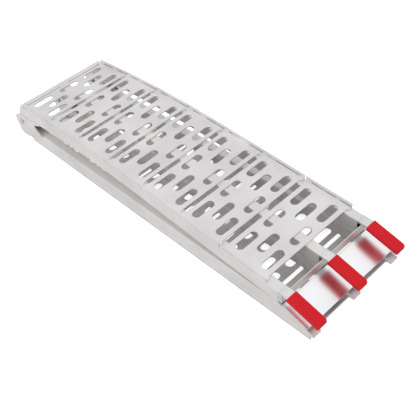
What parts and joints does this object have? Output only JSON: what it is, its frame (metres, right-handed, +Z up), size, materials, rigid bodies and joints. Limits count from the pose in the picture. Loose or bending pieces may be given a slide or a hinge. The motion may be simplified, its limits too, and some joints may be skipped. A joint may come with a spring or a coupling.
{
  "type": "folding loading ramp",
  "caption": "Arched folding loading ramp in aluminium: perforated treads on tube rails, hinged across the middle, with sleeved fingers at the lip and a plain foot plate.",
  "frame": {"origin": "under the middle of the folded ramp, on the surface that it lies on", "axes": "+X along the ramp from the hinge to the lip, +Y across it to the far side, +Z up; the ramp is folded with the ground half deck down and the lip half on top"},
  "size_m": [1.1894, 0.3082, 0.1532],
  "materials": {
    "tread_sheet": "mill finish sheet with light scuffs",
    "rail_tube": "mill finish extrusion with fine draw lines",
    "hinge_plate": "cut plate, ground edges",
    "bright_plate": "bright rolled, nearly a mirror",
    "plated_steel": "zinc plated",
    "red_plastic": "smooth soft plastic, satin"
  },
  "bodies": {
    "ground_half": {"ground_tread_1": "tread_sheet", "ground_tread_2": "tread_sheet", "ground_tread_3": "tread_sheet", "ground_tread_4": "tread_sheet", "ground_tread_5": "tread_sheet", "ground_tread_6": "tread_sheet", "ground_tread_7": "tread_sheet", "ground_tread_8": "tread_sheet", "ground_end_strip": "tread_sheet", "foot_plate": "bright_plate", "ground_rail_near": "rail_tube", "hinge_pin_near": "plated_steel", "hinge_washer_near": "plated_steel", "hinge_ring_near": "plated_steel", "ground_cheek_near_outer": "hinge_plate", "ground_cheek_near_inner": "hinge_plate", "ground_rail_centre": "rail_tube", "hinge_pin_centre": "plated_steel", "hinge_washer_centre": "plated_steel", "hinge_ring_centre": "plated_steel", "ground_cheek_centre_near": "hinge_plate", "ground_cheek_centre_far": "hinge_plate", "ground_rail_far": "rail_tube", "hinge_pin_far": "plated_steel", "hinge_washer_far": "plated_steel", "hinge_ring_far": "plated_steel", "ground_cheek_far_inner": "hinge_plate", "ground_cheek_far_outer": "hinge_plate"},
    "lip_half": {"lip_tread_1": "tread_sheet", "lip_tread_2": "tread_sheet", "lip_tread_3": "tread_sheet", "lip_tread_4": "tread_sheet", "lip_tread_5": "tread_sheet", "lip_tread_6": "tread_sheet", "lip_tread_7": "tread_sheet", "lip_end_strip": "tread_sheet", "lip_cross_angle": "rail_tube", "lip_rail_near": "rail_tube", "hinge_lug_near": "hinge_plate", "finger_near": "rail_tube", "finger_sleeve_near": "red_plastic", "hinge_bush_near": "plated_steel", "lip_rail_centre": "rail_tube", "hinge_lug_centre": "hinge_plate", "finger_centre": "rail_tube", "finger_sleeve_centre": "red_plastic", "hinge_bush_centre": "plated_steel", "lip_rail_far": "rail_tube", "hinge_lug_far": "hinge_plate", "finger_far": "rail_tube", "finger_sleeve_far": "red_plastic", "hinge_bush_far": "plated_steel"}
  },
  "joints": [
    {"name": "fold", "type": "hinge", "parent": "ground_half", "child": "lip_half", "pos_m": [-0.55565, 0, 0.07], "axis": [0, -1, 0], "range_deg": [0, 180]}
  ]
}
